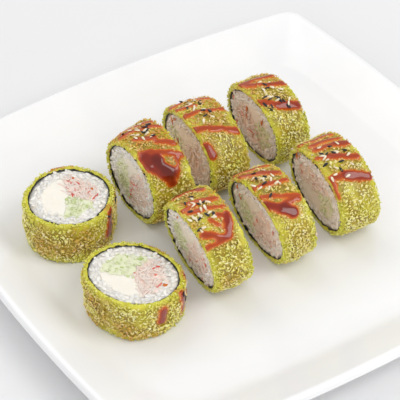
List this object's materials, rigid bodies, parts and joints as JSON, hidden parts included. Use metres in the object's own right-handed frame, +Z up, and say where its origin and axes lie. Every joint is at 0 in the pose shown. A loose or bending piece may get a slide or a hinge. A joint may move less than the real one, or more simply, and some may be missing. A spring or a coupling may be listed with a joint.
{
  "type": "uramaki roll on plate",
  "caption": "Crumb-fried sushi roll with crab, cream cheese and greens, cut into slices with sauce drizzle and sesame, laid out on a square white porcelain plate.",
  "frame": {"origin": "centre of the plate's foot, on the surface that the plate stands on", "axes": "+Z up, +X along the two rows of lying pieces from the standing pieces outwards, +Y to the back"},
  "size_m": [0.2624, 0.2624, 0.0566],
  "materials": {
    "porcelain": "gloss",
    "crumb_crust": "matte",
    "nori": "satin",
    "rice": "satin",
    "cream_cheese": "satin",
    "crab": "satin",
    "greens": "satin",
    "sauce": "gloss",
    "sesame_white": "satin",
    "sesame_black": "satin"
  },
  "bodies": {
    "root": {"plate": "porcelain", "crust_a": "crumb_crust", "nori_a": "nori", "rice_a": "rice", "cream_cheese_a": "cream_cheese", "crab_a": "crab", "greens_a": "greens", "crust_b": "crumb_crust", "nori_b": "nori", "rice_b": "rice", "cream_cheese_b": "cream_cheese", "crab_b": "crab", "greens_b": "greens", "crust_c": "crumb_crust", "nori_c": "nori", "rice_c": "rice", "cream_cheese_c": "cream_cheese", "crab_c": "crab", "greens_c": "greens", "crust_d": "crumb_crust", "nori_d": "nori", "rice_d": "rice", "cream_cheese_d": "cream_cheese", "crab_d": "crab", "greens_d": "greens", "crust_e": "crumb_crust", "nori_e": "nori", "rice_e": "rice", "cream_cheese_e": "cream_cheese", "crab_e": "crab", "greens_e": "greens", "crust_f": "crumb_crust", "nori_f": "nori", "rice_f": "rice", "cream_cheese_f": "cream_cheese", "crab_f": "crab", "greens_f": "greens", "crust_g": "crumb_crust", "nori_g": "nori", "rice_g": "rice", "cream_cheese_g": "cream_cheese", "crab_g": "crab", "greens_g": "greens", "crust_h": "crumb_crust", "nori_h": "nori", "rice_h": "rice", "cream_cheese_h": "cream_cheese", "crab_h": "crab", "greens_h": "greens"}
  },
  "joints": []
}
